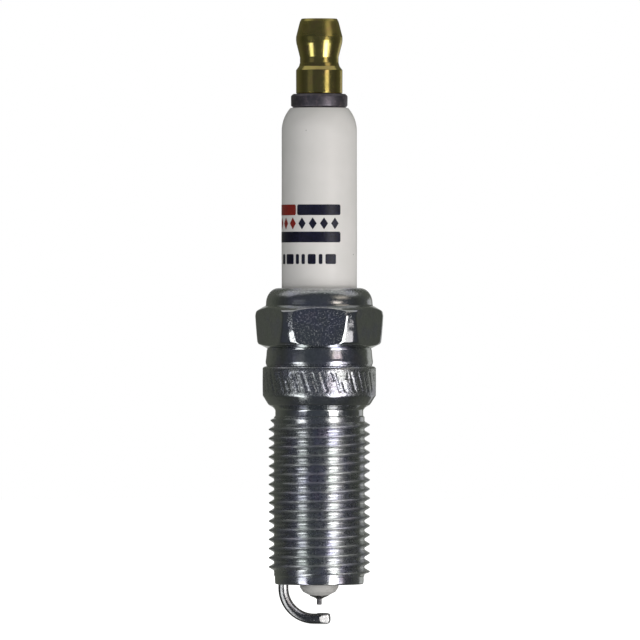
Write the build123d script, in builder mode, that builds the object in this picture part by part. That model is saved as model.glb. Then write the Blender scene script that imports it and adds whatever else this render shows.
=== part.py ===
"""Spark plug with an M14 x 1.25 thread, 25 mm reach, conical seat and removable terminal nut.

Millimetres. The plug's axis is Z and +Z points to the terminal. z = 0 is the gauge plane of
the conical seat. The ground electrode's leg stands at -X and two of the hexagon's flats face
-Y and +Y. Each physical piece is one solid in its own STEP file.
"""

from build123d import *
from math import cos, radians, sin, tan
import os

# --- driving dimensions -------------------------------------------------------------------

# metal shell, outside
thread_pitch = 1.25
thread_crest_radius = 6.9
thread_root_radius = 6.18
thread_crest_flat = 0.156
thread_turns = 16
thread_start_z = -23.05
thread_start_angle = 47.5
reach = 25.0
shell_end_radius = 6.07
shell_end_top_z = -23.8
shell_end_break = 0.15
neck_radius = 6.0
neck_low_z = -2.3
neck_cove_radius = 0.8
seat_cone_angle = 63.0
seat_gauge_radius = 7.27
seat_low_radius = 6.95
flange_radius = 7.77
flange_top_z = 4.75
flange_edge_round = 0.4
groove_step = 0.05
groove_low_radius = 7.27
groove_low_z = 4.95
groove_bulge_radius = 7.3
groove_bulge_z = 5.4
groove_waist_radius = 7.24
groove_waist_z = 6.0
groove_top_radius = 7.15
groove_top_z = 7.25
hex_across_flats = 15.8
hex_low_z = 7.2
hex_low_chamfer_radius = 8.25
hex_low_chamfer_z = 7.7
hex_low_corner_radius = 8.45
hex_low_corner_z = 8.05
hex_middle_radius = 8.69
hex_middle_z = 10.35
hex_corner_radius = 8.74
hex_corner_z = 11.6
hex_shoulder_radius = 8.64
hex_shoulder_z = 12.15
hex_top_radius = 7.45
hex_top_z = 12.9
hex_core_radius = 6.6
turned_core_radius = 7.0
turned_core_top_z = 12.8
collar_radius = 7.27
collar_flare = 0.12
collar_arc_z = 13.3
collar_arc_width = 1.62
collar_arc_height = 2.1
crimp_lip_radius = 5.3
crimp_lip_low_z = 14.5

# metal shell, inside
hex_bore_radius = 6.05
hex_bore_top_z = 14.05
hex_bore_low_z = 2.6
middle_bore_radius = 4.6
middle_bore_top_z = 1.4
ledge_top_z = -9.5
ledge_radius = 3.75
ledge_slope = 0.82
ledge_low_z = -12.5
lower_bore_radius = 4.2
lower_bore_top_z = -13.0

# insulator
insulator_top_z = 40.03
insulator_top_radius = 3.86
barrel_radius = 5.15
barrel_top_z = 36.8
barrel_low_z = 15.42
waist_radius = 4.95
waist_low_z = 9.9
body_radius = 5.95
body_shoulder_radius = 5.6
body_shoulder_z = 9.55
body_top_z = 9.1
body_low_z = 3.0
stem_radius = 4.45
stem_top_z = 1.75
nose_root_radius = 3.45
nose_root_z = -10.4
nose_radius = 2.62
nose_corner_z = -25.35
nose_corner_round = 0.75
nose_step_radius = 3.7
nose_face_radius = 2.2
nose_face_z = -26.05
insulator_bore_radius = 1.95
electrode_bore_radius = 1.2
bore_step_z = -6.0
electrode_bore_z = -6.6
nose_end_z = -26.55

# seat washer between the insulator's seat and the shell's ledge
gasket_thickness = 0.35
gasket_inner_radius = 3.8
gasket_outer_radius = 4.4

# packing between the crimp and the insulator's shoulder
packing_wire_radius = 0.42
packing_ring_radius = 5.5
lower_ring_z = 10.2
upper_ring_z = 13.55
talc_gap = 0.02

# terminal nut and stud
nut_low_z = 41.92
nut_top_z = 52.14
nut_radius = 3.175
nut_edge_break = 0.1
nut_barrel_top_z = 45.2
nut_barrel_neck_radius = 2.8
nut_barrel_neck_z = 45.65
nut_waist_radius = 2.64
nut_waist_low_z = 46.1
nut_waist_top_z = 46.8
nut_head_neck_radius = 2.74
nut_head_neck_z = 47.3
nut_head_flare_radius = 3.115
nut_head_flare_z = 48.71
nut_head_low_z = 48.96
nut_head_top_z = 49.65
nut_crown_radius = 2.7
nut_crown_z = 51.55
nut_rim_radius = 2.4
nut_rim_break = 0.12
nut_bore_radius = 2.05
stud_thread_radius = 2.0
stud_top_z = 51.2
stud_flange_radius = 3.87
stud_flange_top_z = 41.87
stud_flange_round = 0.25
stud_shank_radius = 1.6
stud_anchor_radius = 1.8
stud_anchor_top_z = 12.0
stud_shank_low_z = 12.2
stud_end_z = 7.5
stud_point = 0.3

# conductive column below the stud
upper_seal_top_z = 11.0
resistor_top_z = 5.0
resistor_low_z = -2.0

# centre electrode
electrode_head_radius = 1.75
electrode_head_top_z = -4.4
electrode_radius = 1.1
electrode_end_z = -27.0
electrode_end_radius = 0.45
electrode_cone_z = -26.65
copper_core_radius = 0.65
copper_core_end_z = -24.0
wire_radius = 0.335
wire_top_z = -26.2
wire_end_z = -27.8
wire_end_round = 0.08

# ground electrode
strap_width = 2.6
strap_thickness = 1.38
strap_edge_round = 0.45
strap_leg_x = -4.895
strap_bend_z = -25.5
strap_bend_radius = 4.2
strap_end_x = 1.54
strap_trim_start_x = 0.07
strap_tip_width = 1.7
strap_tip_round = 0.35
pad_radius = 0.75
pad_x = 0.45
pad_depth = 0.2
pad_height = 0.08

# overlap that joins one solid to another or carries a cut past a face
wall_bury = 0.2
cut_margin = 0.2
trim_reach = 1.0

# --- dimensions that follow ---------------------------------------------------------------

seat_slope = tan(radians(seat_cone_angle / 2))
seat_edge_z = (flange_radius - seat_gauge_radius) / seat_slope
seat_low_z = (seat_low_radius - seat_gauge_radius) / seat_slope
thread_flank_slope = tan(radians(30))
thread_crest_half = thread_crest_flat / 2
thread_root_half = thread_crest_half + thread_flank_slope * (thread_crest_radius - thread_root_radius)
ledge_low_edge_z = ledge_top_z - ledge_slope * (middle_bore_radius - ledge_radius)
strap_flat_z = strap_bend_z - strap_bend_radius
strap_face_z = strap_flat_z + strap_thickness / 2
strap_back_z = strap_flat_z - strap_thickness / 2

os.makedirs("parts", exist_ok=True)


def washer_face_z(radius, lift=0.0):
    """Height of the shell's internal ledge at a radius, raised by lift."""
    return ledge_top_z - ledge_slope * (middle_bore_radius - radius) + lift


# --- shell: hexagon, crimped collar, flange, conical seat, thread and stepped bore ----------

with BuildPart() as shell:
    # the hexagon is a turned blank with both ends chamfered, cut to six flats
    with BuildSketch(Plane.XZ):
        with BuildLine():
            Polyline(
                (hex_core_radius, hex_low_z),
                (groove_top_radius, hex_low_z),
                (hex_low_chamfer_radius, hex_low_chamfer_z),
                (hex_low_corner_radius, hex_low_corner_z),
                (hex_middle_radius, hex_middle_z),
                (hex_corner_radius, hex_corner_z),
                (hex_shoulder_radius, hex_shoulder_z),
                (hex_top_radius, hex_top_z),
                (hex_core_radius, hex_top_z),
                close=True,
            )
        make_face()
    revolve(axis=Axis.Z)
    with BuildSketch(Plane.XY.offset(hex_low_z)):
        RegularPolygon(radius=hex_across_flats / 2, side_count=6, major_radius=False)
    extrude(amount=hex_top_z - hex_low_z, mode=Mode.INTERSECT)

    # everything else that is turned, with its bore
    with BuildSketch(Plane.XZ):
        with BuildLine():
            Polyline(
                (crimp_lip_radius, collar_arc_z + collar_arc_height),
                (crimp_lip_radius, crimp_lip_low_z),
                (hex_bore_radius, hex_bore_top_z),
                (hex_bore_radius, hex_bore_low_z),
                (middle_bore_radius, middle_bore_top_z),
                (middle_bore_radius, ledge_top_z),
                (ledge_radius, ledge_low_edge_z),
                (ledge_radius, ledge_low_z),
                (lower_bore_radius, lower_bore_top_z),
                (lower_bore_radius, -reach),
                (shell_end_radius - shell_end_break, -reach),
                (shell_end_radius, -reach + shell_end_break),
                (shell_end_radius, shell_end_top_z),
                (thread_root_radius, shell_end_top_z),
                (thread_root_radius, neck_low_z),
                (neck_radius, neck_low_z),
                (neck_radius, seat_low_z - neck_cove_radius),
            )
            CenterArc(
                (neck_radius + neck_cove_radius, seat_low_z - neck_cove_radius),
                neck_cove_radius,
                180,
                -90,
            )
            Polyline(
                (neck_radius + neck_cove_radius, seat_low_z),
                (seat_low_radius, seat_low_z),
                (flange_radius, seat_edge_z),
                (flange_radius, flange_top_z - flange_edge_round),
            )
            RadiusArc(
                (flange_radius, flange_top_z - flange_edge_round),
                (flange_radius - flange_edge_round, flange_top_z),
                -flange_edge_round,
            )
            Polyline(
                (flange_radius - flange_edge_round, flange_top_z),
                (groove_low_radius - groove_step, flange_top_z),
                (groove_low_radius, groove_low_z),
                (groove_bulge_radius, groove_bulge_z),
                (groove_waist_radius, groove_waist_z),
                (groove_top_radius, groove_top_z),
                (turned_core_radius, groove_top_z),
                (turned_core_radius, turned_core_top_z),
                (collar_radius + collar_flare, hex_top_z),
                (collar_radius, collar_arc_z),
            )
            EllipticalCenterArc(
                (collar_radius - collar_arc_width, collar_arc_z),
                collar_arc_width,
                collar_arc_height,
                start_angle=0,
                arc_size=90,
            )
            Line(
                (collar_radius - collar_arc_width, collar_arc_z + collar_arc_height),
                (crimp_lip_radius, collar_arc_z + collar_arc_height),
            )
        make_face()
    revolve(axis=Axis.Z)

    # right-hand thread, one ridge a turn, each beginning where the last one ends
    start = radians(thread_start_angle)
    for turn in range(thread_turns):
        turn_z = thread_start_z + turn * thread_pitch
        outward = (cos(start), sin(start), 0)
        with BuildLine(Plane(origin=(0, 0, turn_z), x_dir=outward, z_dir=(0, 0, 1))) as helix:
            Helix(pitch=thread_pitch, height=thread_pitch, radius=thread_root_radius)
        across = (sin(start), -cos(start), 0)
        with BuildSketch(Plane(origin=(0, 0, turn_z), x_dir=outward, z_dir=across)):
            with BuildLine():
                Polyline(
                    (thread_root_radius - wall_bury, -thread_root_half),
                    (thread_root_radius, -thread_root_half),
                    (thread_crest_radius, -thread_crest_half),
                    (thread_crest_radius, thread_crest_half),
                    (thread_root_radius, thread_root_half),
                    (thread_root_radius - wall_bury, thread_root_half),
                    close=True,
                )
            make_face()
        sweep(path=helix.wires()[0], is_frenet=True)

shell.part.label = "shell"
export_step(shell.part, "parts/shell.step")

# --- insulator: ribless barrel, body, stem and nose around a stepped bore -------------------

shoulder_drop = insulator_top_z - barrel_top_z
shoulder_step = barrel_radius - insulator_top_radius
shoulder_arc_radius = (shoulder_drop**2 + shoulder_step**2) / (2 * shoulder_step)

with BuildPart() as insulator:
    with BuildSketch(Plane.XZ):
        with BuildLine():
            RadiusArc(
                (barrel_radius, barrel_top_z),
                (insulator_top_radius, insulator_top_z),
                -shoulder_arc_radius,
            )
            Polyline(
                (insulator_top_radius, insulator_top_z),
                (insulator_bore_radius, insulator_top_z),
                (insulator_bore_radius, bore_step_z),
                (electrode_bore_radius, electrode_bore_z),
                (electrode_bore_radius, nose_end_z),
                (nose_face_radius, nose_face_z),
            )
            RadiusArc(
                (nose_face_radius, nose_face_z),
                (nose_radius, nose_corner_z),
                -nose_corner_round,
            )
            Polyline(
                (nose_radius, nose_corner_z),
                (nose_root_radius, nose_root_z),
                (nose_step_radius, washer_face_z(nose_step_radius, gasket_thickness)),
                (stem_radius, washer_face_z(stem_radius, gasket_thickness)),
                (stem_radius, stem_top_z),
                (body_radius, body_low_z),
                (body_radius, body_top_z),
                (body_shoulder_radius, body_shoulder_z),
                (waist_radius, waist_low_z),
                (waist_radius, barrel_low_z),
                (barrel_radius, barrel_low_z),
                (barrel_radius, barrel_top_z),
            )
        make_face()
    revolve(axis=Axis.Z)

insulator.part.label = "insulator"
export_step(insulator.part, "parts/insulator.step")

# --- seat washer ---------------------------------------------------------------------------

with BuildPart() as seat_washer:
    with BuildSketch(Plane.XZ):
        with BuildLine():
            Polyline(
                (gasket_inner_radius, washer_face_z(gasket_inner_radius)),
                (gasket_outer_radius, washer_face_z(gasket_outer_radius)),
                (gasket_outer_radius, washer_face_z(gasket_outer_radius, gasket_thickness)),
                (gasket_inner_radius, washer_face_z(gasket_inner_radius, gasket_thickness)),
                close=True,
            )
        make_face()
    revolve(axis=Axis.Z)

seat_washer.part.label = "seat_washer"
export_step(seat_washer.part, "parts/seat_washer.step")

# --- packing under the crimp: two wire rings with talc between them ---------------------------

with BuildPart() as packing_ring_lower:
    with BuildSketch(Plane.XZ):
        with Locations((packing_ring_radius, lower_ring_z)):
            Circle(packing_wire_radius)
    revolve(axis=Axis.Z)

packing_ring_lower.part.label = "packing_ring_lower"
export_step(packing_ring_lower.part, "parts/packing_ring_lower.step")

with BuildPart() as packing_ring_upper:
    with BuildSketch(Plane.XZ):
        with Locations((packing_ring_radius, upper_ring_z)):
            Circle(packing_wire_radius)
    revolve(axis=Axis.Z)

packing_ring_upper.part.label = "packing_ring_upper"
export_step(packing_ring_upper.part, "parts/packing_ring_upper.step")

talc_low_z = lower_ring_z + packing_wire_radius + talc_gap
talc_top_z = upper_ring_z - packing_wire_radius - talc_gap

with BuildPart() as talc_packing:
    with BuildSketch(Plane.XY.offset(talc_low_z)):
        Circle(hex_bore_radius - talc_gap)
        Circle(waist_radius + talc_gap, mode=Mode.SUBTRACT)
    extrude(amount=talc_top_z - talc_low_z)

talc_packing.part.label = "talc_packing"
export_step(talc_packing.part, "parts/talc_packing.step")

# --- terminal stud: threaded top, flange on the insulator, anchor in the glass seal ------------

with BuildPart() as terminal_stud:
    with BuildSketch(Plane.XZ):
        with BuildLine():
            Polyline(
                (0, stud_end_z),
                (stud_anchor_radius, stud_end_z),
                (stud_anchor_radius, stud_anchor_top_z),
                (stud_shank_radius, stud_shank_low_z),
                (stud_shank_radius, insulator_top_z),
                (stud_flange_radius, insulator_top_z),
                (stud_flange_radius, stud_flange_top_z),
                (stud_thread_radius, stud_flange_top_z),
                (stud_thread_radius, stud_top_z - stud_point),
                (stud_thread_radius - stud_point, stud_top_z),
                (0, stud_top_z),
                close=True,
            )
        make_face()
    revolve(axis=Axis.Z)
    flange_edges = terminal_stud.edges().filter_by(GeomType.CIRCLE)
    flange_edges = flange_edges.filter_by(lambda edge: edge.radius > stud_flange_radius - 0.01)
    fillet(flange_edges, radius=stud_flange_round)

terminal_stud.part.label = "terminal_stud"
export_step(terminal_stud.part, "parts/terminal_stud.step")

# --- terminal nut: barrel, waist for the connector's spring, and head --------------------------

with BuildPart() as terminal_nut:
    with BuildSketch(Plane.XZ):
        with BuildLine():
            Polyline(
                (nut_bore_radius, nut_low_z),
                (nut_radius - nut_edge_break, nut_low_z),
                (nut_radius, nut_low_z + nut_edge_break),
                (nut_radius, nut_barrel_top_z),
                (nut_barrel_neck_radius, nut_barrel_neck_z),
                (nut_waist_radius, nut_waist_low_z),
                (nut_waist_radius, nut_waist_top_z),
                (nut_head_neck_radius, nut_head_neck_z),
                (nut_head_flare_radius, nut_head_flare_z),
                (nut_radius, nut_head_low_z),
                (nut_radius, nut_head_top_z),
                (nut_crown_radius, nut_crown_z),
                (nut_rim_radius + nut_rim_break, nut_top_z - nut_rim_break),
                (nut_rim_radius, nut_top_z),
                (nut_bore_radius + nut_rim_break, nut_top_z),
                (nut_bore_radius, nut_top_z - nut_rim_break),
                close=True,
            )
        make_face()
    revolve(axis=Axis.Z)

terminal_nut.part.label = "terminal_nut"
export_step(terminal_nut.part, "parts/terminal_nut.step")

# --- glass seals and resistor in the insulator's bore -------------------------------------------

with BuildPart() as glass_seal_upper:
    with BuildSketch(Plane.XZ):
        with BuildLine():
            Polyline(
                (0, resistor_top_z),
                (insulator_bore_radius, resistor_top_z),
                (insulator_bore_radius, upper_seal_top_z),
                (stud_anchor_radius, upper_seal_top_z),
                (stud_anchor_radius, stud_end_z),
                (0, stud_end_z),
                close=True,
            )
        make_face()
    revolve(axis=Axis.Z)

glass_seal_upper.part.label = "glass_seal_upper"
export_step(glass_seal_upper.part, "parts/glass_seal_upper.step")

with BuildPart() as resistor:
    with BuildSketch(Plane.XY.offset(resistor_low_z)):
        Circle(insulator_bore_radius)
    extrude(amount=resistor_top_z - resistor_low_z)

resistor.part.label = "resistor"
export_step(resistor.part, "parts/resistor.step")

bore_step_slope = (bore_step_z - electrode_bore_z) / (insulator_bore_radius - electrode_bore_radius)
head_low_z = bore_step_z - bore_step_slope * (insulator_bore_radius - electrode_head_radius)

with BuildPart() as glass_seal_lower:
    with BuildSketch(Plane.XZ):
        with BuildLine():
            Polyline(
                (0, resistor_low_z),
                (0, electrode_head_top_z),
                (electrode_head_radius, electrode_head_top_z),
                (electrode_head_radius, head_low_z),
                (insulator_bore_radius, bore_step_z),
                (insulator_bore_radius, resistor_low_z),
                close=True,
            )
        make_face()
    revolve(axis=Axis.Z)

glass_seal_lower.part.label = "glass_seal_lower"
export_step(glass_seal_lower.part, "parts/glass_seal_lower.step")

# --- centre electrode: nickel sheath, copper core and fine wire tip ------------------------------

with BuildPart() as center_electrode:
    with BuildSketch(Plane.XZ):
        with BuildLine():
            Polyline(
                (copper_core_radius, electrode_head_top_z),
                (copper_core_radius, copper_core_end_z),
                (0, copper_core_end_z),
                (0, wire_top_z),
                (wire_radius, wire_top_z),
                (wire_radius, electrode_end_z),
                (electrode_end_radius, electrode_end_z),
                (electrode_radius, electrode_cone_z),
                (electrode_radius, electrode_bore_z),
                (electrode_bore_radius, electrode_bore_z),
                (electrode_head_radius, head_low_z),
                (electrode_head_radius, electrode_head_top_z),
                close=True,
            )
        make_face()
    revolve(axis=Axis.Z)

center_electrode.part.label = "center_electrode"
export_step(center_electrode.part, "parts/center_electrode.step")

with BuildPart() as center_electrode_core:
    with BuildSketch(Plane.XY.offset(copper_core_end_z)):
        Circle(copper_core_radius)
    extrude(amount=electrode_head_top_z - copper_core_end_z)

center_electrode_core.part.label = "center_electrode_core"
export_step(center_electrode_core.part, "parts/center_electrode_core.step")

with BuildPart() as center_electrode_tip:
    with BuildSketch(Plane.XY.offset(wire_end_z)):
        Circle(wire_radius)
    extrude(amount=wire_top_z - wire_end_z)
    fillet(center_electrode_tip.edges().group_by(Axis.Z)[0], radius=wire_end_round)

center_electrode_tip.part.label = "center_electrode_tip"
export_step(center_electrode_tip.part, "parts/center_electrode_tip.step")

# --- ground electrode: strap welded to the shell's end, bent under the tip -----------------------

with BuildPart() as ground_electrode:
    with BuildLine(Plane.XZ) as strap_path:
        leg = Line((strap_leg_x, -reach), (strap_leg_x, strap_bend_z))
        bend = CenterArc((strap_leg_x + strap_bend_radius, strap_bend_z), strap_bend_radius, 180, 90)
        foot = Line(bend @ 1, (strap_end_x, strap_flat_z))
    with BuildSketch(Plane.XY.offset(-reach)):
        with Locations((strap_leg_x, 0)):
            RectangleRounded(strap_thickness, strap_width, strap_edge_round)
    sweep(path=strap_path.wires()[0])
    # both sides of the free end are sheared to a taper
    for side in (-1, 1):
        with BuildSketch(Plane.XY.offset(strap_back_z - cut_margin)):
            with BuildLine():
                Polyline(
                    (strap_trim_start_x, side * strap_width / 2),
                    (strap_end_x, side * strap_tip_width / 2),
                    (strap_end_x + trim_reach, side * strap_tip_width / 2),
                    (strap_end_x + trim_reach, side * (strap_width / 2 + trim_reach)),
                    (strap_trim_start_x, side * (strap_width / 2 + trim_reach)),
                    close=True,
                )
            make_face()
        extrude(amount=strap_thickness + 2 * cut_margin, mode=Mode.SUBTRACT)
    tip_edges = ground_electrode.faces().sort_by(Axis.X)[-1].edges().filter_by(Axis.Y)
    chamfer(tip_edges, length=strap_tip_round / 2)
    # pocket that the noble metal pad is welded into
    with BuildSketch(Plane.XY.offset(strap_face_z - pad_depth)):
        with Locations((pad_x, 0)):
            Circle(pad_radius)
    extrude(amount=pad_depth + cut_margin, mode=Mode.SUBTRACT)

ground_electrode.part.label = "ground_electrode"
export_step(ground_electrode.part, "parts/ground_electrode.step")

with BuildPart() as ground_electrode_pad:
    with BuildSketch(Plane.XY.offset(strap_face_z - pad_depth)):
        with Locations((pad_x, 0)):
            Circle(pad_radius)
    extrude(amount=pad_depth + pad_height)

ground_electrode_pad.part.label = "ground_electrode_pad"
export_step(ground_electrode_pad.part, "parts/ground_electrode_pad.step")
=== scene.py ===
"""The looks of the spark plug: its visible pieces as fine meshes, their materials, and a small studio.

Lengths are in millimetres in the plug's own frame until a mesh is written, which is in metres. Z is
the plug's axis, z = 0 is the conical seat's gauge plane and the camera looks along +Y.
"""

from math import atan, atan2, ceil, cos, degrees, exp, hypot, pi, radians, sin, sqrt, tan

import bpy
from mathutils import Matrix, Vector, noise


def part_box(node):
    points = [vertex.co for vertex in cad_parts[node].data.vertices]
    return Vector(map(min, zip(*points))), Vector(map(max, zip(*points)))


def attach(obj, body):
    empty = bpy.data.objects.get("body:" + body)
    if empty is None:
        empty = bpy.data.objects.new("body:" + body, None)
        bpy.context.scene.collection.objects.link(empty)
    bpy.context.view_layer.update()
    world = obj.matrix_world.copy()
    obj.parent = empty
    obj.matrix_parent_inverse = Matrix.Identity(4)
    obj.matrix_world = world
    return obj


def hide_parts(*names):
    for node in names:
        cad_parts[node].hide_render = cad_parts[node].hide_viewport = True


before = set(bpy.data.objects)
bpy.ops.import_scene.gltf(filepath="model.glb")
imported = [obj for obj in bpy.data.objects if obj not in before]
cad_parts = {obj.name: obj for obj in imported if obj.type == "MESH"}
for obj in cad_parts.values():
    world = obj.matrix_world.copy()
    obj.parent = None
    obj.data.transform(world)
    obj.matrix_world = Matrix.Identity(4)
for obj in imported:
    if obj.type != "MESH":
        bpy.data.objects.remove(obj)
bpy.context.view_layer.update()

MM = 0.001
ROUND_COLUMNS = 144
HEX_COLUMNS = 3 * ROUND_COLUMNS
ARC_STEPS = 6
SHARP_ANGLE = radians(32)


# --- meshes ---------------------------------------------------------------------------------


def span(node):
    """Lowest and highest corner of a CAD node, in millimetres."""
    low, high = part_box(node)
    return low / MM, high / MM


def smoothstep(x):
    x = min(max(x, 0.0), 1.0)
    return x * x * (3 - 2 * x)


def rounded(*corners):
    """An outline of (r, z) points from corners (r, z) or (r, z, fillet radius)."""
    points = []
    count = len(corners)
    for i, corner in enumerate(corners):
        fillet = corner[2] if len(corner) > 2 else 0
        here = Vector(corner[:2])
        if not fillet or i in (0, count - 1):
            points.append(tuple(here))
            continue
        back = Vector(corners[i - 1][:2]) - here
        ahead = Vector(corners[i + 1][:2]) - here
        half = back.angle(ahead) / 2
        reach = min(fillet / tan(half), 0.49 * back.length, 0.49 * ahead.length)
        radius = reach * tan(half)
        start = here + back.normalized() * reach
        middle = here + (back.normalized() + ahead.normalized()).normalized() * radius / sin(half)
        first = start - middle
        swing = pi - 2 * half
        side = 1 if back.x * ahead.y - back.y * ahead.x < 0 else -1
        for step in range(ARC_STEPS + 1):
            turn = side * swing * step / ARC_STEPS
            x = first.x * cos(turn) - first.y * sin(turn)
            y = first.x * sin(turn) + first.y * cos(turn)
            points.append((middle.x + x, middle.y + y))
    return points


def arc(middle, radius, start, end, steps=10):
    """Points (r, z) on an arc about middle, with angles in degrees."""
    points = []
    for step in range(steps + 1):
        turn = radians(start + (end - start) * step / steps)
        points.append((middle[0] + radius * cos(turn), middle[1] + radius * sin(turn)))
    return points


class Skin:
    """Rings of points about the plug's axis and the faces that join them."""

    def __init__(self):
        self.points = []
        self.faces = []

    def add(self, x, y, z):
        self.points.append((x * MM, y * MM, z * MM))
        return len(self.points) - 1

    def ring(self, radius, z, columns, turned=0.0):
        """A level ring. radius and z are numbers, or functions of the angle."""
        ring = []
        for column in range(columns):
            angle = turned + 2 * pi * column / columns
            r = radius(angle) if callable(radius) else radius
            height = z(angle) if callable(z) else z
            ring.append(self.add(r * cos(angle), r * sin(angle), height))
        return ring

    def join(self, first, second):
        """Faces from a ring to the next one along the outline, outward on a wall that rises."""
        if len(first) >= len(second):
            few, ratio, flip = second, len(first) // len(second), True
            many = first
        else:
            few, ratio, flip = first, len(second) // len(first), False
            many = second
        count = len(few)
        for j in range(count):
            ends = [few[j], few[(j + 1) % count]]
            run = [many[(j * ratio + k) % len(many)] for k in range(ratio + 1)]
            face = ends + run[::-1]
            self.faces.append(face[::-1] if flip else face)

    def close(self, ring, pole_z, upward):
        """A fan of triangles from a ring to a point on the axis."""
        pole = self.add(0, 0, pole_z)
        for j in range(len(ring)):
            face = [ring[j], ring[(j + 1) % len(ring)], pole]
            self.faces.append(face if upward else face[::-1])

    def mesh(self, name, sharp=SHARP_ANGLE):
        data = bpy.data.meshes.new(name)
        data.from_pydata(self.points, [], self.faces)
        data.validate()
        data.shade_smooth()
        data.set_sharp_from_angle(angle=sharp)
        piece = bpy.data.objects.new(name, data)
        bpy.context.scene.collection.objects.link(piece)
        return piece


def braced(outline):
    """The outline with a point near both ends of each long run, which keeps its shading straight."""
    near, long_run = 0.06, 0.5
    points = [outline[0]]
    for start, end in zip(outline, outline[1:]):
        run = Vector(end) - Vector(start)
        if run.length > long_run and min(start[0], end[0]) > 1e-6:
            step = run.normalized() * near
            points.append((start[0] + step.x, start[1] + step.y))
            points.append((end[0] - step.x, end[1] - step.y))
        points.append(end)
    return points


def lathe(name, outline, columns=ROUND_COLUMNS, looped=False, sharp=SHARP_ANGLE):
    """A turned piece. The outline runs up the outside; looped, it comes back down a bore."""
    skin = Skin()
    outline = braced(outline)
    rings = []
    for r, z in outline:
        rings.append(None if r < 1e-6 else skin.ring(r, z, columns))
    for i in range(len(outline) - 1):
        if rings[i] is None:
            skin.close(rings[i + 1], outline[i][1], upward=False)
        elif rings[i + 1] is None:
            skin.close(rings[i], outline[i + 1][1], upward=True)
        else:
            skin.join(rings[i], rings[i + 1])
    if looped:
        skin.join(rings[-1], rings[0])
    return skin.mesh(name, sharp)


# one pitch of an ISO thread: place along the pitch from the middle of a root, and share of the height
THREAD_FORM = (
    (0.0, 0.0),
    (0.07, 0.01),
    (0.12, 0.07),
    (0.17, 0.19),
    (0.36, 0.75),
    (0.40, 0.87),
    (0.44, 0.96),
    (0.48, 1.0),
    (0.52, 1.0),
    (0.56, 0.96),
    (0.60, 0.87),
    (0.64, 0.75),
    (0.83, 0.19),
    (0.88, 0.07),
    (0.93, 0.01),
)


def wind_thread(
    skin, below, start_z, start_angle, turns, pitch, root, crest, fade, nicks=0.0, limits=None
):
    """A right-hand thread above the ring below, as one helical strip. Returns the ring above it.

    The strip's columns climb the helix; its last row is the first row one turn on. The ridge grows
    from nothing at the start and fades at the end, over the share of a turn that fade gives. With
    limits (lowest z, highest z), what lies near or past them is pressed together inside them.
    """
    room = 0.5
    columns = len(below)
    last = round(turns * columns)
    rows = len(THREAD_FORM)

    def pressed(z):
        if limits and z < limits[0] + room:
            return limits[0] + room * exp((z - limits[0] - room) / room)
        if limits and z > limits[1] - room:
            return limits[1] - room * exp((limits[1] - room - z) / room)
        return z

    def column_points(c, form):
        angle = start_angle + 2 * pi * c / columns
        grown = min(smoothstep(c / (fade[0] * columns)), smoothstep((last - c) / (fade[1] * columns)))
        made = []
        for along, height in form:
            z = pressed(start_z + pitch * (c / columns + along))
            r = root + (crest - root) * height * grown
            if nicks and height > 0.9:
                dent = noise.noise(Vector((r * cos(angle), r * sin(angle), z)) * 2.3)
                r -= nicks * max(0.0, dent) * grown
            made.append(skin.add(r * cos(angle), r * sin(angle), z))
        return made

    strip = [column_points(c, THREAD_FORM) for c in range(last + 1)]
    strip += [column_points(c, THREAD_FORM[:1]) for c in range(last + 1, last + columns + 1)]
    for c in range(last):
        here = strip[c] + [strip[c + columns][0]]
        ahead = strip[c + 1] + [strip[c + 1 + columns][0]]
        for k in range(rows):
            skin.faces.append([here[k], ahead[k], ahead[k + 1], here[k + 1]])
    for j in range(columns - 1):
        skin.faces.append([below[j], below[j + 1], strip[j + 1][0], strip[j][0]])
    skin.faces.append([below[-1], below[0]] + strip[0] + [strip[columns][0], strip[columns - 1][0]])
    end_angle = start_angle + 2 * pi * last / columns
    above = skin.ring(root, pressed(start_z + pitch * (turns + 1.1)), columns, end_angle)
    top = [strip[last + j][0] for j in range(columns + 1)]
    skin.faces.append([top[0], top[1], above[1], above[0], top[columns]] + strip[last][:0:-1])
    for j in range(1, columns):
        skin.faces.append([top[j], top[j + 1], above[(j + 1) % columns], above[j]])
    return above


# --- shell ------------------------------------------------------------------------------------

shell_low, shell_high = span("shell")
insulator_low, insulator_high = span("insulator")
stud_low, stud_high = span("terminal_stud")
nut_low, nut_high = span("terminal_nut")
tip_low, tip_high = span("center_electrode_tip")
electrode_low, electrode_high = span("center_electrode")
strap_low, strap_high = span("ground_electrode")
pad_low, pad_high = span("ground_electrode_pad")

HEX_FLATS = 6
HEX_APOTHEM = shell_high.y
HEX_CORNER = shell_high.x
HEX_LOW = 7.2
HEX_TOP = 12.9
NECK_LOW = -2.2
PITCH = 1.25
THREAD_ROOT = 6.18
THREAD_CREST = 6.9
THREAD_TURNS = 17 + 1 / 6
THREAD_CREST_AT_X = -22.015
CREASE = 0.1
FLANGE_RADIUS = 7.77
STAMP_DEPTH = 0.06


def hexagon_angles():
    """Column angles for the hexagon, close together where a flat meets the turned corners."""
    share = HEX_COLUMNS // HEX_FLATS
    plan = ((30.0, 27.2, 4), (27.2, 18.5, 22), (18.5, 0.0, 10))
    half = []
    for start, end, steps in plan:
        half += [start + (end - start) * k / steps for k in range(steps)]
    offsets = [-x for x in half] + [0.0] + half[:0:-1]
    assert len(offsets) == share
    angles = []
    for flat in range(HEX_FLATS):
        middle = 30 + 60 * flat
        angles += [radians(middle + x) for x in offsets]
    return angles


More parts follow.
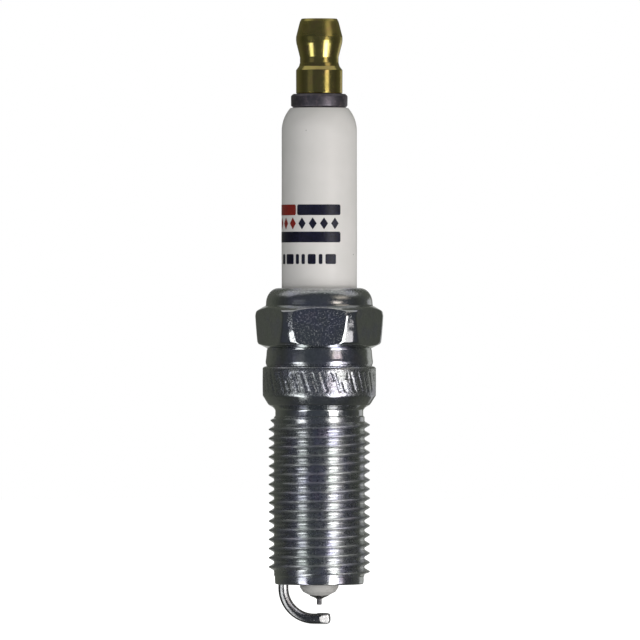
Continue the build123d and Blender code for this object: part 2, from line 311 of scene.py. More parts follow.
def hexagon_envelope(z):
    """Radius of the turned blank that the flats are cut from."""
    stations = (
        (HEX_LOW, 7.14),
        (HEX_LOW + 0.2, 7.55),
        (HEX_LOW + 0.56, 8.3),
        (HEX_LOW + 0.84, 8.45),
        (HEX_LOW + 2.2, 8.59),
        (HEX_TOP - 1.3, HEX_CORNER),
        (HEX_TOP - 0.75, 8.64),
        (HEX_TOP - 0.55, 8.46),
        (HEX_TOP + 0.02, 7.47),
    )
    for (z0, r0), (z1, r1) in zip(stations, stations[1:]):
        if z <= z1:
            return r0 + (r1 - r0) * max(0.0, z - z0) / (z1 - z0)
    return stations[-1][1]


def softer_minimum(a, b, width):
    """The smaller of two radii, rounded over where they cross."""
    blend = max(0.0, width - abs(a - b)) / width
    return min(a, b) - blend * blend * width / 4


def add_hexagon(skin, below):
    """The hexagon's rings, from the ring below up to its top face. Returns the last ring."""
    unevenness = 0.012
    angles = hexagon_angles()
    heights = []
    for low, high, steps in (
        (HEX_LOW, HEX_LOW + 1.0, 13),
        (HEX_LOW + 1.0, HEX_TOP - 1.35, 18),
        (HEX_TOP - 1.35, HEX_TOP, 24),
    ):
        heights += [low + (high - low) * k / steps for k in range(steps)]
    heights.append(HEX_TOP)
    for z in heights:
        blank = hexagon_envelope(z)
        ring = []
        for angle in angles:
            from_flat = (angle - radians(30) + pi / HEX_FLATS) % (pi / 3) - pi / HEX_FLATS
            flat = HEX_APOTHEM / cos(from_flat)
            r = softer_minimum(blank, flat, CREASE)
            at = Vector((r * cos(angle), r * sin(angle), z))
            r += unevenness * noise.noise(at * 0.9)
            ring.append(skin.add(r * cos(angle), r * sin(angle), z))
        skin.join(below, ring)
        below = ring
    return below


def stamp_strokes():
    """Plain slanted strokes rolled into the flange: (angle, low z, high z, lean, half width)."""
    strokes = []
    pattern = (
        (0.0, 1.45, 3.75, 0.75),
        (1.25, 1.45, 3.75, 0.75),
        (2.55, 1.45, 3.75, 0.75),
        (3.8, 1.45, 3.75, 0.75),
        (4.9, 2.9, 3.75, 0.3),
        (5.7, 1.45, 3.75, 0.75),
        (6.75, 1.45, 2.5, 0.35),
        (7.35, 3.1, 3.75, 0.0),
    )
    copies, repeat, half_width = 6, 8.14, 0.19
    front = radians(-90) * FLANGE_RADIUS
    first = front - 3.2
    for copy in range(copies):
        for along, low, high, lean in pattern:
            angle = (first + along + copy * repeat) / FLANGE_RADIUS
            strokes.append((angle, low, high, lean, half_width))
    return strokes


STROKES = stamp_strokes()


def stamped(angle, z):
    """Depth of the rolled strokes at a place on the flange."""
    depth = 0.0
    for at, low, high, lean, half in STROKES:
        if not low - half <= z <= high + half:
            continue
        middle = (low + high) / 2
        along = ((angle - at + pi) % (2 * pi) - pi) * FLANGE_RADIUS
        across = along + lean * (z - middle) / (high - low)
        end = max(0.0, low - z, z - high)
        away = hypot(across, end)
        if away < 1.6 * half:
            depth = max(depth, smoothstep(1.6 - away / half))
    return STAMP_DEPTH * depth


def add_flange(skin, below):
    """The flange's wall with its stamped strokes, from the conical seat's edge up."""
    wall_low, wall_high = 1.05, 4.3
    steps = 44
    for step in range(steps + 1):
        z = wall_low + (wall_high - wall_low) * step / steps

        def wall(angle, z=z):
            bulge = 0.02 * sin(pi * (z - wall_low) / (wall_high - wall_low))
            return FLANGE_RADIUS - 0.05 + bulge - stamped(angle, z)

        ring = skin.ring(wall, z, HEX_COLUMNS)
        skin.join(below, ring)
        below = ring
    for r, z in arc((FLANGE_RADIUS - 0.45, wall_high), 0.42, 0, 78, 6):
        ring = skin.ring(r, z, HEX_COLUMNS)
        skin.join(below, ring)
        below = ring
    return below


def make_shell():
    skin = Skin()
    end = shell_low.z
    bore, ledge, stem_bore, hex_bore, lip = 4.2, 3.75, 4.6, 6.05, 5.3
    end_radius = 6.07

    # bore, from the crimp lip down to the firing end
    inside = rounded(
        (lip, shell_high.z - 0.05),
        (lip, shell_high.z - 0.9),
        (hex_bore, shell_high.z - 1.35),
        (hex_bore, 2.6),
        (stem_bore, 1.4),
        (stem_bore, -9.5),
        (ledge, -10.2),
        (ledge, -12.5),
        (bore, -13.0),
        (bore, end + 0.12, 0.1),
        (bore + 0.12, end),
    )
    first = None
    below = None
    for r, z in inside:
        ring = skin.ring(r, z, ROUND_COLUMNS)
        if below is not None:
            skin.join(below, ring)
        first = first or ring
        below = ring

    # end face and plain end
    for r, z in rounded(
        (bore + 0.4, end),
        (end_radius - 0.05, end, 0.22),
        (end_radius, end + 0.5),
        (end_radius, end + 1.05, 0.1),
        (THREAD_ROOT, end + 1.2),
    ):
        ring = skin.ring(r, z, ROUND_COLUMNS)
        skin.join(below, ring)
        below = ring

    # the crest lies half a pitch above the strip's first row, and is known where the helix passes +X
    helix_angle = radians(-120)
    lift = PITCH * (helix_angle / (2 * pi)) - PITCH / 2
    start_z = THREAD_CREST_AT_X - PITCH + lift
    start_column = round(helix_angle / (2 * pi) * ROUND_COLUMNS) % ROUND_COLUMNS
    end_column = (start_column + round(THREAD_TURNS * ROUND_COLUMNS)) % ROUND_COLUMNS
    below = below[start_column:] + below[:start_column]
    below = wind_thread(
        skin, below, start_z, helix_angle, THREAD_TURNS, PITCH, THREAD_ROOT, THREAD_CREST,
        fade=(0.2, 0.55), nicks=0.05, limits=(end + 1.2, NECK_LOW),
    )
    below = below[-end_column:] + below[:-end_column]

    # neck and conical seat
    for r, z in rounded(
        (THREAD_ROOT, NECK_LOW),
        (6.0, NECK_LOW + 0.2),
        (6.0, -1.25, 0.35),
        (6.3, -0.88),
        (6.88, -0.55, 0.2),
        (7.08, -0.3),
        (7.6, 0.55),
    ):
        ring = skin.ring(r, z, ROUND_COLUMNS)
        skin.join(below, ring)
        below = ring
    edge = skin.ring(FLANGE_RADIUS - 0.06, 0.72, HEX_COLUMNS)
    skin.join(below, edge)
    below = add_flange(skin, edge)

    # buckled groove
    for r, z in rounded(
        (7.27, 4.74),
        (7.2, 4.8),
        (7.22, 4.92),
        (7.3, 5.05, 0.1),
        (7.33, 5.4, 0.6),
        (7.27, 5.75, 0.6),
        (7.22, 6.2),
        (7.17, 6.85),
        (7.17, 6.98),
        (7.1, 7.02),
        (7.1, HEX_LOW - 0.08),
    ):
        ring = skin.ring(r, z, HEX_COLUMNS)
        skin.join(below, ring)
        below = ring
    below = add_hexagon(skin, below)

    # crimped collar, a quarter ellipse
    collar_radius, collar_z, width, height = 7.27, 13.3, 1.72, 2.1
    profile = [(collar_radius + 0.1, HEX_TOP + 0.03), (collar_radius + 0.03, HEX_TOP + 0.15)]
    steps = 16
    for step in range(steps + 1):
        turn = pi / 2 * step / steps
        profile.append((collar_radius - width * (1 - cos(turn)), collar_z + height * sin(turn)))
    profile.append((lip + 0.08, shell_high.z))
    for r, z in profile:
        ring = skin.ring(r, z, HEX_COLUMNS)
        skin.join(below, ring)
        below = ring
    skin.join(below, first)
    return skin.mesh("shell_body")


# --- insulator ---------------------------------------------------------------------------------

BARREL = 5.15


def make_insulator():
    top = insulator_high.z
    shoulder_low = top - 3.2
    drop = top - shoulder_low
    neck = 3.9
    big = (drop**2 + (BARREL - neck) ** 2) / (2 * (BARREL - neck))
    swing = atan2(drop, big - (BARREL - neck))
    outside = rounded(
        (1.2, insulator_low.z),
        (2.2, -26.05, 0.2),
        (2.62, -25.45, 0.3),
        (3.4, -10.4),
        (3.7, -9.89),
        (4.45, -9.27),
        (4.45, 1.75),
        (5.95, 3.0),
        (5.95, 9.1, 0.3),
        (4.95, 9.9, 0.3),
        (4.95, 14.9),
        (BARREL - 0.02, 15.3),
        (BARREL - 0.02, 17.0),
        (BARREL, 22.0),
        (BARREL - 0.02, 30.0),
    )
    outside += arc((BARREL - big - 0.02, shoulder_low), big, 0, swing * 180 / pi - 1.5, 14)
    outside += rounded((neck - 0.14, top - 0.06), (neck - 0.3, top), (1.95, top))
    bore = [(1.95, -6.0), (1.2, -6.6)]
    return lathe("insulator_body", outside + bore, looped=True)


def strip_piece(name, shapes, radius, thick):
    """Flat printed shapes wrapped on a cylinder: each is (start, end, low(x), high(x)) in arc length."""
    skin = Skin()
    step_length = 0.12
    for start, end, low, high in shapes:
        steps = max(2, ceil((end - start) / step_length))
        outer, inner = [], []
        for k in range(steps + 1):
            x = start + (end - start) * k / steps
            angle = -pi / 2 + x / radius
            a, b = low(x), high(x)
            outer.append([skin.add(radius * cos(angle), radius * sin(angle), z) for z in (a, b)])
            r = radius - thick
            inner.append([skin.add(r * cos(angle), r * sin(angle), z) for z in (a, b)])
        for k in range(steps):
            skin.faces.append([outer[k][0], outer[k + 1][0], outer[k + 1][1], outer[k][1]])
            skin.faces.append([inner[k][1], inner[k + 1][1], inner[k + 1][0], inner[k][0]])
            skin.faces.append([inner[k][0], inner[k + 1][0], outer[k + 1][0], outer[k][0]])
            skin.faces.append([outer[k][1], outer[k + 1][1], inner[k + 1][1], inner[k][1]])
        skin.faces.append([inner[0][0], outer[0][0], outer[0][1], inner[0][1]])
        skin.faces.append([outer[-1][0], inner[-1][0], inner[-1][1], outer[-1][1]])
    return skin.mesh(name)


def bar(start, end, low, high, end_round=0.0):
    """A printed bar, with rounded ends where end_round is given."""

    def inset(x):
        nearest = min(x - start, end - x)
        if nearest >= end_round or not end_round:
            return 0.0
        return end_round - sqrt(max(0.0, end_round**2 - (end_round - nearest) ** 2))

    return (start, end, lambda x: low + inset(x), lambda x: high - inset(x))


def diamond(middle_x, middle_z, half_width, half_height):
    def half(x):
        return half_height * (1 - abs(x - middle_x) / half_width) + 0.005

    return (
        middle_x - half_width,
        middle_x + half_width,
        lambda x: middle_z - half(x),
        lambda x: middle_z + half(x),
    )


PRINT_LIFT = 0.012
PRINT_THICK = 0.03


def make_print():
    """A generic mark: two solid bands with a row of diamonds between, and a row of dashes below."""
    left, right = -8.1, 3.05
    low, high = 21.6, 26.75
    navy = [
        bar(left, right, low, low + 1.45, 0.2),
        bar(-3.2, right, high - 1.45, high, 0.2),
    ]
    red = [bar(left, -3.45, high - 1.45, high, 0.2)]
    spacing = 1.55
    count = int((right - left) / spacing)
    for k in range(count):
        at = right - 0.85 - spacing * k
        (red if k >= 4 else navy).append(diamond(at, (low + high) / 2, 0.55, 0.8))
    dashes = []
    lengths = (1.5, 0.5, 1.1, 0.5, 0.5, 1.5, 0.8)
    at = 2.35
    for length in lengths:
        dashes.append(bar(at - length, at, 18.65, 20.0, 0.12))
        at -= length + 0.42
    radius = BARREL + PRINT_LIFT
    return (
        strip_piece("print_dark", navy + dashes, radius, PRINT_THICK),
        strip_piece("print_red", red, radius, PRINT_THICK),
    )


# --- terminal ------------------------------------------------------------------------------------


def make_nut():
    low, high = nut_low.z, nut_high.z
    outside = rounded(
        (2.1, low + 0.05),
        (2.2, low),
        (3.1, low, 0.06),
        (3.165, low + 0.12),
        (3.175, low + 3.2, 0.12),
        (2.78, low + 3.72, 0.12),
        (2.64, low + 4.2, 0.25),
        (2.64, low + 4.95, 0.8),
        (3.12, low + 6.85, 0.25),
        (3.175, low + 7.25, 0.25),
        (3.17, low + 7.75, 0.2),
        (2.74, low + 9.45, 0.3),
        (2.62, low + 9.85, 0.2),
        (2.42, high, 0.08),
        (2.2, high),
        (2.06, high - 0.15),
    )
    return lathe("nut_body", outside, looped=True)


def make_stud():
    """The stud with its dark flange, the M4 thread inside the nut, and a knurled anchor below."""
    skin = Skin()
    seat, flange_top = insulator_high.z, nut_low.z - 0.05
    wide = stud_high.x
    low = stud_low.z
    below = skin.ring(1.5, low, ROUND_COLUMNS)
    skin.close(below, low, upward=False)
    knurl_rows, knurl_depth, knurls = 24, 0.12, 36
    anchor_top = low + 4.5
    for row in range(knurl_rows + 1):
        z = low + 0.2 + (anchor_top - low - 0.2) * row / knurl_rows

        def knurled(angle, z=z):
            return 1.8 - knurl_depth * (0.5 + 0.5 * cos(knurls * angle)) * (0.5 + 0.5 * cos(9 * z))

        ring = skin.ring(knurled, z, ROUND_COLUMNS)
        skin.join(below, ring)
        below = ring
    for r, z in rounded(
        (1.6, anchor_top + 0.2),
        (1.6, seat),
        (wide - 0.32, seat, 0.05),
        (wide - 0.02, seat + 0.2, 0.2),
        (wide, flange_top - 0.3, 0.25),
        (wide - 0.3, flange_top, 0.15),
        (1.75, flange_top),
        (1.66, flange_top + 0.1),
    ):
        ring = skin.ring(r, z, ROUND_COLUMNS)
        skin.join(below, ring)
        below = ring
    pitch = 0.7
    turns = int((stud_high.z - flange_top - 0.2) / pitch - 1.2)
    below = wind_thread(
        skin, below, flange_top + 0.15, 0.0, turns, pitch, 1.66, 1.98, fade=(0.5, 0.25)
    )
    for r, z in rounded((1.62, stud_high.z - 0.12), (1.45, stud_high.z)):
        ring = skin.ring(r, z, ROUND_COLUMNS)
        skin.join(below, ring)
        below = ring
    skin.close(below, stud_high.z, upward=True)
    return skin.mesh("stud_body")


# --- electrodes ------------------------------------------------------------------------------------


def make_centre_electrode():
    face = insulator_low.z
    outside = rounded(
        (0, electrode_low.z - 0.02),
        (0.4, electrode_low.z, 0.05),
        (0.62, electrode_low.z + 0.14, 0.15),
        (1.12, face - 0.11, 0.2),
        (1.3, face - 0.03),
        (1.3, face),
        (1.12, face + 0.1),
        (1.12, -6.6),
        (1.75, -6.16),
        (1.75, electrode_high.z),
        (0.65, electrode_high.z),
    )
    core = [(0.65, -24.0), (0, -24.0)]
    return lathe("centre_electrode_body", outside + core)


def make_tip():
    r = tip_high.x
    outside = rounded((0, tip_low.z), (r, tip_low.z, 0.11), (r, tip_high.z), (0, tip_high.z))
    return lathe("centre_tip_body", outside, columns=72)


STRAP_THICKNESS = 1.38
STRAP_RIDGE_ANGLE = 25
STRAP_SIDE = 0.4
TRIM_START = 0.02
TRIM_DEPTH = 0.38
WORN_END = 0.28


def strap_section(crowned, trimmed):
    """Section of the strap, (across thickness, across width), anticlockwise from outside.

    Rolling leaves each narrow side with two faces that meet in a soft ridge; crowned goes from
    that, 0, to a rounded side, 1, and trimmed makes the rounding stronger towards the free end.
    """
    half_t, half_w = STRAP_THICKNESS / 2, strap_high.y
    slope = tan(radians(STRAP_RIDGE_ANGLE))
    soft = 0.14
    crown_height = 0.4 + 0.7 * trimmed * sqrt(trimmed)

    def drop(t):
        ridge = slope * (sqrt(t * t + soft * soft) - soft)
        crown = crown_height * (t / half_t) ** 4
        return ridge + (crown - ridge) * crowned

    fall = (drop(STRAP_SIDE) - drop(STRAP_SIDE - 0.01)) / 0.01
    swing = pi / 2 - atan(fall)
    corner = (half_t - STRAP_SIDE) / (1 - cos(swing))
    middle = (half_t - corner, half_w - drop(STRAP_SIDE) - corner * sin(swing))
    swing = degrees(swing)
    top = [(half_t, 0.0), (half_t, 0.5 * middle[1])]
    top += arc(middle, corner, 0, swing, 6)
    top += [(STRAP_SIDE * k / 6, half_w - drop(STRAP_SIDE * k / 6)) for k in range(5, -6, -1)]
    top += arc((-middle[0], middle[1]), corner, 180 - swing, 180, 6)
    top += [(-half_t, 0.5 * middle[1]), (-half_t, 0.0)]
    return top + [(-t, -w) for t, w in top[1:-1]]


def strap_route():
    """Places along the strap: (x, z, outward x, outward z) for the middle of its section."""
    leg_x, bend_z, bend = -4.895, -25.5, 4.2
    end_x = strap_high.x
    route = []
    for k in range(4):
        z = shell_low.z + 0.05 - (shell_low.z + 0.05 - bend_z) * k / 3
        route.append((leg_x, z, -1.0, 0.0))
    steps = 48
    for k in range(1, steps + 1):
        turn = pi + pi / 2 * k / steps
        route.append((leg_x + bend + bend * cos(turn), bend_z + bend * sin(turn), cos(turn), sin(turn)))
    start_x = leg_x + bend
    steps = 46
    for k in range(1, steps + 1):
        x = start_x + (end_x - start_x) * k / steps
        route.append((x, bend_z - bend, 0.0, -1.0))
    return route


def make_strap():
    """The bent strap: ridged sides, sheared and crowned at the free end, which is worn round."""
    skin = Skin()
    end_x, half_w, half_t = strap_high.x, strap_high.y, STRAP_THICKNESS / 2
    end_round, end_bulge = 0.55, 0.22
    outer_share, inner_share, lip = 0.85, 0.35, 0.05
    below = None
    first = None
    for x, z, out_x, out_z in strap_route():
        foot = out_x == 0.0
        from_end = end_x - x
        shrink = worn_off(from_end, end_round) if foot else 0.0
        swell = lip * smoothstep((x + 0.25) / 0.4) if foot else 0.0
        ring = []
        trimmed = max(0.0, (x - TRIM_START) / (end_x - TRIM_START))
        for t, w in strap_section(smoothstep((x + 2.2) / 1.6) if foot else 0.0, trimmed):
            limit = half_w - TRIM_DEPTH * trimmed
            if foot:
                limit -= worn_off(from_end - end_bulge * (t / half_t) ** 2, WORN_END)
            w = max(-limit, min(limit, w))
            if t > 0:
                t -= shrink * outer_share * smoothstep(t / half_t)
            else:
                t += (shrink * inner_share - swell) * smoothstep(-t / half_t)
            ring.append(skin.add(x + out_x * t, w, z + out_z * t))
        if below is not None:
            skin.join(ring, below)
        first = first or ring
        below = ring
    skin.faces.append(list(first))
    skin.faces.append(list(below[::-1]))
    return skin.mesh("strap_body", radians(40))


def worn_off(from_end, radius):
    """How far a rounded corner falls away, at a distance from the end it rounds."""
    inside = radius - min(max(from_end, 0.0), radius)
    return radius - sqrt(radius**2 - inside**2)


def make_pad():
    middle_x = (pad_low.x + pad_high.x) / 2
    r = (pad_high.x - pad_low.x) / 2
    top = pad_high.z
    outline = rounded((0, pad_low.z), (r, pad_low.z), (r, top, 0.06), (0, top))
    piece = lathe("pad_body", outline, columns=72)
    for vertex in piece.data.vertices:
        vertex.co.x += middle_x * MM
    return piece


# --- materials ------------------------------------------------------------------------------------


class Finish:
    """A material with one Principled shader and its procedural detail."""

    def __init__(self, name, **values):
        self.material = bpy.data.materials.new(name)
        self.material.use_nodes = True
        self.nodes = self.material.node_tree.nodes
        self.links = self.material.node_tree.links
        self.shader = self.nodes["Principled BSDF"]
        for socket, value in values.items():
            self.shader.inputs[socket.replace("_", " ")].default_value = value
        self.place = self.nodes.new("ShaderNodeTexCoord").outputs["Object"]

    def scaled(self, x, y, z):
        """The object's place in millimetres, stretched on each axis."""
        mapping = self.nodes.new("ShaderNodeMapping")
        mapping.inputs["Scale"].default_value = (x / MM, y / MM, z / MM)
        self.links.new(self.place, mapping.inputs["Vector"])
        return mapping.outputs["Vector"]

    def noise(self, vector, scale, detail=3.0, roughness=0.5):
        texture = self.nodes.new("ShaderNodeTexNoise")
        texture.inputs["Scale"].default_value = scale
        texture.inputs["Detail"].default_value = detail
        texture.inputs["Roughness"].default_value = roughness
        self.links.new(vector, texture.inputs["Vector"])
        return texture.outputs["Fac"]

    def cells(self, vector, scale):
        texture = self.nodes.new("ShaderNodeTexVoronoi")
        texture.inputs["Scale"].default_value = scale
        self.links.new(vector, texture.inputs["Vector"])
        return texture.outputs["Distance"]

    def ramp(self, value, *stops):
        """A value or colour for each place on the 0 to 1 input: (place, colour)."""
        node = self.nodes.new("ShaderNodeValToRGB")
        elements = node.color_ramp.elements
        while len(elements) > 1:
            elements.remove(elements[-1])
        for index, (at, colour) in enumerate(stops):
            element = elements[0] if index == 0 else elements.new(at)
            element.position = at
            if isinstance(colour, (int, float)):
                colour = (colour, colour, colour)
            element.color = (*colour, 1.0)
        self.links.new(value, node.inputs["Fac"])
        return node.outputs["Color"]

    def distance_from_axis(self, reach):
        """Distance from the plug's axis, as a share of reach in millimetres."""
        mapping = self.nodes.new("ShaderNodeMapping")
        mapping.inputs["Scale"].default_value = (1 / (reach * MM), 1 / (reach * MM), 0)
        self.links.new(self.place, mapping.inputs["Vector"])
        length = self.nodes.new("ShaderNodeVectorMath")
        length.operation = "LENGTH"
        self.links.new(mapping.outputs["Vector"], length.inputs[0])
        return length.outputs["Value"]

    def along_axis(self, *stops, axis="Z"):
        """A value that changes along the plug's axis, or across it: (millimetres, value)."""
        split = self.nodes.new("ShaderNodeSeparateXYZ")
        self.links.new(self.scaled(1, 1, 1), split.inputs[0])
        low, high = stops[0][0], stops[-1][0]
        place = self.nodes.new("ShaderNodeMapRange")
        place.inputs["From Min"].default_value = low
        place.inputs["From Max"].default_value = high
        self.links.new(split.outputs[axis], place.inputs["Value"])
        return self.ramp(place.outputs["Result"], *[((z - low) / (high - low), v) for z, v in stops])

    def mix(self, factor, first, second, kind="MIX"):
        node = self.nodes.new("ShaderNodeMix")
        node.data_type = "RGBA"
        node.blend_type = kind
        if isinstance(factor, (int, float)):
            node.inputs[0].default_value = factor
        else:
            self.links.new(factor, node.inputs[0])
        for socket, value in ((node.inputs[6], first), (node.inputs[7], second)):
            if isinstance(value, tuple):
                socket.default_value = (*value, 1.0)
            else:
                self.links.new(value, socket)
        return node.outputs[2]

    def colour(self, value):
        self.links.new(value, self.shader.inputs["Base Color"])

    def roughness(self, value):
        self.links.new(value, self.shader.inputs["Roughness"])

    def drawn_round_axis(self):
        """Lay the shader's grain in circles round the plug's axis."""
        tangent = self.nodes.new("ShaderNodeTangent")
        tangent.direction_type = "RADIAL"
        tangent.axis = "Z"
        self.links.new(tangent.outputs["Tangent"], self.shader.inputs["Tangent"])

    def bump(self, *layers):
        """Bump layers, each (height, depth in millimetres, strength)."""
        previous = None
        for height, depth, strength in layers:
            node = self.nodes.new("ShaderNodeBump")
            node.inputs["Distance"].default_value = depth * MM
            if isinstance(strength, (int, float)):
                node.inputs["Strength"].default_value = strength
            else:
                self.links.new(strength, node.inputs["Strength"])
            self.links.new(height, node.inputs["Height"])
            if previous is not None:
                self.links.new(previous, node.inputs["Normal"])
            previous = node.outputs["Normal"]
        self.links.new(previous, self.shader.inputs["Normal"])


def plated_steel(name, drawn=0.0):
    """Bright zinc plate: grainy on the flange, flecked on two flats, drawn round a rolled thread."""
    finish = Finish(name, Metallic=1.0, Roughness=0.2, Anisotropic=drawn, Anisotropic_Rotation=0.25)
    even = finish.scaled(1, 1, 1)
    turned = finish.scaled(0.15, 0.15, 6)
    bloom = finish.ramp(
        finish.noise(even, 0.35, 2),
        (0.3, (0.60, 0.63, 0.61)),
        (0.5, (0.61, 0.62, 0.63)),
        (0.62, (0.57, 0.58, 0.66)),
        (0.72, (0.63, 0.60, 0.67)),
    )
    grain = finish.along_axis(
        (-2, 0.0),
        (0.6, 0.0),
        (0.9, 1.0),
        (4.5, 1.0),
        (5.0, 0.2),
        (7, 0.2),
        (7.3, 0.1),
        (13, 0.1),
        (15, 0.7),
    )
    scuffed = finish.along_axis(
        (-2, 0.0), (1.6, 0.7), (4.6, 0.7), (5, 0.4), (7, 0.4), (7.3, 0.2), (13, 0.3)
    )
    speckle = finish.ramp(finish.noise(even, 3.6, 5, 0.75), (0.36, 0.42), (0.5, 0.85), (0.64, 1.15))
    toned = finish.mix(1.0, bloom, finish.mix(scuffed, (1.0, 1.0, 1.0), speckle), "MULTIPLY")
    on_hexagon = finish.along_axis((6.9, 0.0), (7.3, 1.0), (12.2, 1.0), (12.6, 0.0))
    patches = finish.noise(even, 2.2, 4, 0.6)
    smooth = finish.ramp(patches, (0.3, 0.10), (0.7, 0.20))
    clean = finish.ramp(patches, (0.3, 0.03), (0.7, 0.07))
    smooth = finish.mix(on_hexagon, smooth, clean)
    # the flats a spanner has slipped on are flecked, the others are clean
    outermost = finish.along_axis(
        (-8, 1.0), (-7.6, 1.0), (-7.5, 0.0), (7.5, 0.0), (7.6, 1.0), (8, 1.0), axis="Y"
    )
    fleck = finish.ramp(finish.noise(even, 3.8, 5, 0.75), (0.53, 0.0), (0.6, 1.0))
    fleck = finish.mix(1.0, finish.mix(1.0, outermost, fleck, "MULTIPLY"), on_hexagon, "MULTIPLY")
    smooth = finish.mix(fleck, smooth, (0.5, 0.5, 0.5))
    if drawn:
        # rolled crests are nicked and dull, the rest of the thread is smooth
        smooth = finish.ramp(patches, (0.3, 0.24), (0.7, 0.32))
        nicked = finish.ramp(finish.noise(even, 2.0, 5, 0.8), (0.36, 0.3), (0.6, 0.6))
        crest = finish.ramp(finish.distance_from_axis(10), (0.676, 0.0), (0.686, 1.0))
        smooth = finish.mix(crest, smooth, nicked)
        finish.drawn_round_axis()
    finish.colour(toned)
    coarse = finish.ramp(finish.noise(even, 3.5, 5, 0.7), (0.3, 0.18), (0.7, 0.38))
    finish.roughness(finish.mix(grain, smooth, coarse))
    tool_lines = finish.mix(on_hexagon, (0.1, 0.1, 0.1), (0.0, 0.0, 0.0))
    finish.bump(
        (finish.noise(turned, 1.6, 3), 0.02, tool_lines),
        (finish.noise(even, 2.6, 4, 0.6), 0.055, grain),
    )
    return finish.material


def brass():
    """Turned brass, a little dulled and duller on the head, with fine tool lines on the barrel."""
    finish = Finish("terminal_brass", Metallic=1.0, Roughness=0.2)
    even = finish.scaled(1, 1, 1)
    turned = finish.scaled(0.05, 0.05, 5)
    tone = finish.ramp(
        finish.noise(even, 0.8, 3),
        (0.3, (0.58, 0.51, 0.15)),
        (0.55, (0.67, 0.555, 0.18)),
        (0.75, (0.64, 0.475, 0.19)),
    )
    finish.colour(tone)
    smooth = finish.ramp(finish.noise(even, 1.2, 3), (0.3, 0.16), (0.7, 0.24))
    head = finish.along_axis((48.9, 0.0), (50.6, 1.0))
    finish.roughness(finish.mix(head, smooth, (0.32, 0.32, 0.32)))
    barrel = finish.along_axis((42, 0.35), (45.2, 0.35), (45.6, 0.08), (53, 0.12))
    finish.bump((finish.noise(turned, 0.9, 2), 0.012, barrel))
    return finish.material


def oxidised_steel():
    finish = Finish("oxidised_steel", Metallic=0.9, Roughness=0.4)
    even = finish.scaled(1, 1, 1)
    tone = finish.ramp(
        finish.noise(even, 1.6, 5, 0.65),
        (0.3, (0.14, 0.135, 0.155)),
        (0.55, (0.20, 0.18, 0.21)),
        (0.72, (0.36, 0.30, 0.32)),
    )
    finish.colour(tone)
    finish.roughness(finish.ramp(finish.noise(even, 3, 4), (0.3, 0.34), (0.7, 0.5)))
    finish.bump((finish.noise(even, 6, 3), 0.015, 0.35))
    return finish.material


def glazed_ceramic():
    """White glaze above the shell, bare grey-beige ceramic inside it, and a few iron specks."""
    finish = Finish("glazed_alumina", Roughness=0.16, Specular_IOR_Level=0.4)
    finish.shader.inputs["IOR"].default_value = 1.52
    even = finish.scaled(1, 1, 1)
    glaze = finish.ramp(
        finish.noise(even, 0.25, 2), (0.35, (0.78, 0.765, 0.745)), (0.7, (0.82, 0.80, 0.785))
    )
    specks = finish.ramp(finish.cells(even, 0.42), (0.028, 0.35), (0.045, 1.0))
    glaze = finish.mix(1.0, glaze, specks, "MULTIPLY")
    bare = finish.ramp(
        finish.noise(even, 4, 4), (0.3, (0.43, 0.42, 0.405)), (0.7, (0.50, 0.49, 0.475))
    )
    glazed = finish.along_axis((13.5, 0.0), (14.0, 1.0))
    finish.colour(finish.mix(glazed, bare, glaze))
    finish.roughness(finish.ramp(glazed, (0.0, 0.6), (1.0, 0.26)))
    finish.bump((finish.noise(even, 0.9, 2), 0.02, 0.2))
    return finish.material


def ink(name, dark, light):
    finish = Finish(name, Roughness=0.35)
    even = finish.scaled(1, 1, 1)
    finish.colour(finish.ramp(finish.noise(even, 3.5, 4), (0.35, dark), (0.65, light)))
    finish.bump((finish.noise(even, 7, 2), 0.004, 0.3))
    return finish.material


def nickel_alloy(name, shade=1.0):
    finish = Finish(name, Metallic=1.0, Roughness=0.26)
    even = finish.scaled(1, 1, 1)
    dark = tuple(shade * part for part in (0.44, 0.44, 0.445))
    light = tuple(shade * part for part in (0.62, 0.61, 0.60))
    finish.colour(finish.ramp(finish.noise(even, 1.6, 4), (0.3, dark), (0.7, light)))
    finish.roughness(finish.ramp(finish.noise(even, 4, 4), (0.3, 0.16), (0.7, 0.3)))
    finish.bump((finish.noise(even, 4, 5, 0.65), 0.03, 0.4))
    return finish.material


def noble_metal():
    finish = Finish("noble_metal", Metallic=1.0, Roughness=0.3)
    even = finish.scaled(1, 1, 1)
    finish.colour(
        finish.ramp(finish.noise(even, 6, 3), (0.3, (0.10, 0.10, 0.11)), (0.7, (0.22, 0.21, 0.21)))
    )
    finish.roughness(finish.ramp(finish.noise(even, 8, 3), (0.3, 0.24), (0.7, 0.4)))
    finish.bump((finish.noise(even, 9, 3), 0.01, 0.4))
    return finish.material


def grainy(name, dark, light, rough, metallic=0.0, scale=5.0):
    """A plain finish for the sealed pieces: two tones of grain and a fine bump."""
    finish = Finish(name, Metallic=metallic, Roughness=rough)
    even = finish.scaled(1, 1, 1)
    grain = finish.noise(even, scale, 4)
    finish.colour(finish.ramp(grain, (0.35, dark), (0.65, light)))
    finish.roughness(finish.ramp(grain, (0.3, rough - 0.06), (0.7, rough + 0.06)))
    finish.bump((finish.noise(even, 2 * scale, 3), 0.02, 0.3))
    return finish.material


# --- the object ------------------------------------------------------------------------------------

ink_dark = ink("ink_dark", (0.004, 0.004, 0.012), (0.010, 0.010, 0.035))
ink_red = ink("ink_red", (0.20, 0.012, 0.008), (0.30, 0.02, 0.012))
# the centre electrode's copy of the nickel alloy is darkened to 0.3 as painted shade, for its cone under
# the insulator's nose
nickel_in_painted_shade = nickel_alloy("painted_shade_nickel", 0.3)
worn = nickel_alloy("nickel_alloy", 0.6)
print_dark, print_red = make_print()

